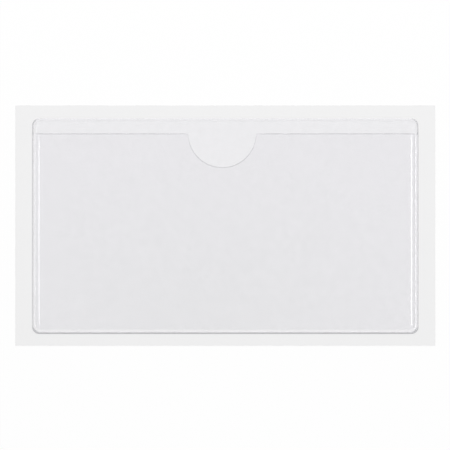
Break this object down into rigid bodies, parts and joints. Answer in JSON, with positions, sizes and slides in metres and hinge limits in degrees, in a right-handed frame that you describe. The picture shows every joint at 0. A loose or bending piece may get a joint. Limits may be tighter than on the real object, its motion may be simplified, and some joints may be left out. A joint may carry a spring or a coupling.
{
  "type": "adhesive label pocket",
  "caption": "Clear self-adhesive label pocket, open along its long top edge with a half-round thumb notch, on its white release liner.",
  "frame": {"origin": "centre of the release liner's underside, which the pocket lies on", "axes": "+X along the mouth of the pocket, +Y in the plane of the pocket towards the mouth, +Z out of the front film"},
  "size_m": [0.1152, 0.066, 0.001],
  "materials": {
    "liner_paper": "smooth, matt, siliconised",
    "adhesive": "clear and faintly mottled",
    "back_film": "clear, glossy",
    "front_film": "clear, glossy"
  },
  "bodies": {
    "root": {"release_liner": "liner_paper", "adhesive_coat": "adhesive", "back_film": "back_film", "front_film": "front_film"}
  },
  "joints": []
}
